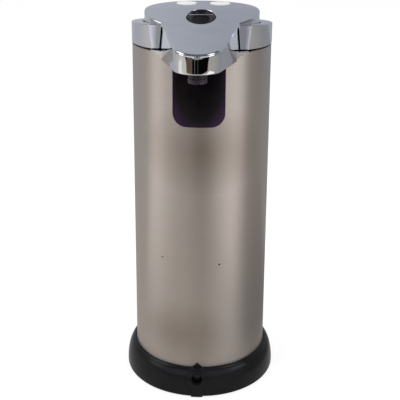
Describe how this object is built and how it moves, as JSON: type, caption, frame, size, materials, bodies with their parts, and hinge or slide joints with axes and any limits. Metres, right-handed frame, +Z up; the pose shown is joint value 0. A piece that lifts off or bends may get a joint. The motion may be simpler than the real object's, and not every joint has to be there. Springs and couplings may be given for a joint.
{
  "type": "automatic soap dispenser",
  "caption": "Free-standing touch-free soap dispenser: brushed steel sleeve on a flared black base, chrome head with a long spout, sensor window, oval filler stopper and gear pump.",
  "frame": {"origin": "on the sleeve's axis, on the floor that the rubber foot stands on", "axes": "+Z up along the sleeve's axis, -Y towards the front and the spout, +X to the right as seen from the front"},
  "size_m": [0.0848, 0.1069, 0.2094],
  "materials": {
    "brushed_steel": "brushed round the sleeve",
    "chrome": "polished plating on plastic",
    "black_plastic": "semi-gloss moulding",
    "smoked_lens": "smoked, passes infrared",
    "black_rubber": "matte",
    "dark_plastic": "matte moulding",
    "white_plastic": "matte moulding",
    "clear_plastic": "frosted translucent moulding",
    "nozzle_plastic": "translucent grey",
    "silicone": "translucent",
    "steel_parts": "plain bright steel",
    "blackened_steel": "black oxide",
    "brass_parts": "cut brass",
    "copper_winding": "enamelled copper wire",
    "ferrite": "sintered",
    "cell_sleeve": "plain printed wrap without text",
    "circuit_board": "solder mask",
    "diode_plastic": "tinted epoxy",
    "ribbon": "flat cable jacket"
  },
  "bodies": {
    "housing": {"base": "black_plastic", "foot_ring": "black_rubber", "base_screws": "steel_parts", "lock_screw": "blackened_steel", "steel_sleeve": "brushed_steel", "sensor_window": "smoked_lens", "shoulder_ring": "chrome", "spout_cover": "chrome", "spout_floor": "dark_plastic", "nozzle": "nozzle_plastic", "nozzle_valve": "silicone", "chassis": "white_plastic", "head_frame": "dark_plastic", "battery_holder": "dark_plastic", "battery_cells": "cell_sleeve", "contact_springs": "steel_parts", "contact_plates": "steel_parts", "motor_can": "steel_parts", "motor_magnets": "ferrite", "idler_pin": "steel_parts", "pump_housing": "white_plastic", "pump_cover": "white_plastic", "pump_screws": "steel_parts", "suction_hose": "silicone", "delivery_hose": "silicone", "tank": "clear_plastic", "lid_gasket": "black_rubber", "tank_lid": "clear_plastic", "control_board": "circuit_board", "tact_switches": "dark_plastic", "sensor_board": "circuit_board", "ir_emitter": "diode_plastic", "ir_receiver": "diode_plastic", "status_led": "diode_plastic", "ribbon_cable": "ribbon", "terminal_strip": "dark_plastic", "board_screws": "steel_parts", "head_screws": "steel_parts", "spout_screw": "steel_parts"},
    "door": {"battery_door": "black_plastic"},
    "cap": {"filler_cap": "black_plastic", "filler_grip": "chrome", "cap_seal": "black_rubber"},
    "plus": {"plus_button": "white_plastic"},
    "minus": {"minus_button": "white_plastic"},
    "rotor": {"motor_armature": "copper_winding", "motor_shaft": "steel_parts", "motor_pinion": "brass_parts"},
    "drive": {"reduction_gear": "white_plastic", "pump_shaft": "steel_parts", "pump_drive_gear": "dark_plastic"},
    "idler": {"pump_idler_gear": "dark_plastic"}
  },
  "joints": [
    {"name": "door_twist", "type": "hinge", "parent": "housing", "child": "door", "pos_m": [0, 0, 0.00115], "axis": [0, 0, 1], "range_deg": [0, 45]},
    {"name": "cap_lift", "type": "slide", "parent": "housing", "child": "cap", "axis": [0, -0.1874, 0.9823], "range_m": [0, 0.03]},
    {"name": "plus_press", "type": "slide", "parent": "housing", "child": "plus", "axis": [0, 0, -1], "range_m": [0, 0.001], "stiffness_N_per_m": 600},
    {"name": "minus_press", "type": "slide", "parent": "housing", "child": "minus", "axis": [0, 0, -1], "range_m": [0, 0.001], "stiffness_N_per_m": 600},
    {"name": "drive_spin", "type": "hinge", "parent": "housing", "child": "drive", "pos_m": [0.004, 0, 0.09225], "axis": [0, 0, 1], "continuous": true},
    {"name": "rotor_spin", "type": "hinge", "parent": "housing", "child": "rotor", "pos_m": [-0.017, 0, 0.09225], "axis": [0, 0, 1], "continuous": true},
    {"name": "idler_spin", "type": "hinge", "parent": "housing", "child": "idler", "pos_m": [0.0136, 0, 0.07625], "axis": [0, 0, 1], "continuous": true}
  ],
  "couplings": [
    {"joint": "rotor_spin", "follows": "drive_spin", "ratio": -6},
    {"joint": "idler_spin", "follows": "drive_spin", "ratio": -1}
  ]
}
